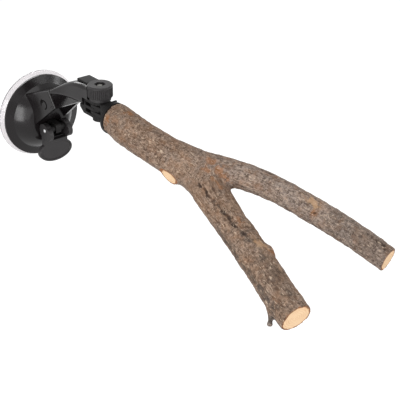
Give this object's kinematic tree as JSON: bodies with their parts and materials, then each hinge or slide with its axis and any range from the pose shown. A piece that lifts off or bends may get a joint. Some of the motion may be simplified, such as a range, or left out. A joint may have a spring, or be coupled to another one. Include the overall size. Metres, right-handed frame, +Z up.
{
  "type": "bird perch",
  "caption": "Bird perch: a natural forked branch on a swivelling holder, carried by a swan-neck arm on a clear suction cup with a flip lock lever and a fluted clamping knob.",
  "frame": {"origin": "centre of the suction face, on the glass", "axes": "+X straight out from the glass towards the branch, +Z up along the pivot bolt, +Y to the right when facing the glass, looking along -X with +Z up"},
  "size_m": [0.3378, 0.1298, 0.1046],
  "materials": {
    "clear_pvc": "clear soft moulding, glossy",
    "black_abs_satin": "smooth satin black moulding",
    "black_abs_matte": "fine spark-eroded matt black",
    "black_nylon": "matt black glass-filled nylon",
    "bright_steel": "bright nickel-plated",
    "zinc_steel": "zinc plated",
    "bark_wood": "grey-brown bark with pale sawn ends"
  },
  "bodies": {
    "base": {"suction_cup": "clear_pvc", "base_housing": "black_abs_satin", "hinge_yoke": "black_nylon", "yoke_screw": "zinc_steel", "pivot_bolt": "zinc_steel", "washer": "zinc_steel"},
    "stem": {"pull_stem": "black_nylon"},
    "lever": {"lock_lever": "black_abs_matte", "lever_pin": "bright_steel"},
    "knob": {"pivot_knob": "black_abs_matte", "knob_nut": "zinc_steel"},
    "perch": {"branch_holder": "black_nylon", "branch_stud": "zinc_steel", "branch": "bark_wood"}
  },
  "joints": [
    {"name": "stem_pull", "type": "slide", "parent": "base", "child": "stem", "axis": [-1, 0, 0], "range_m": [0, 0.003], "deforming": ["suction_cup"]},
    {"name": "lever_turn", "type": "hinge", "parent": "stem", "child": "lever", "pos_m": [0.029, 0, -0.0045], "axis": [0, -1, 0], "range_deg": [0, 90]},
    {"name": "perch_swivel", "type": "hinge", "parent": "base", "child": "perch", "pos_m": [0.0985, 0, 0.0386], "axis": [0, 0, 1], "range_deg": [-95, 85]},
    {"name": "knob_turn", "type": "hinge", "parent": "base", "child": "knob", "pos_m": [0.0985, 0, 0.05], "axis": [0, 0, 1], "continuous": true}
  ],
  "couplings": [
    {"joint": "stem_pull", "follows": "lever_turn", "m_per_rad": 0.0019099}
  ]
}
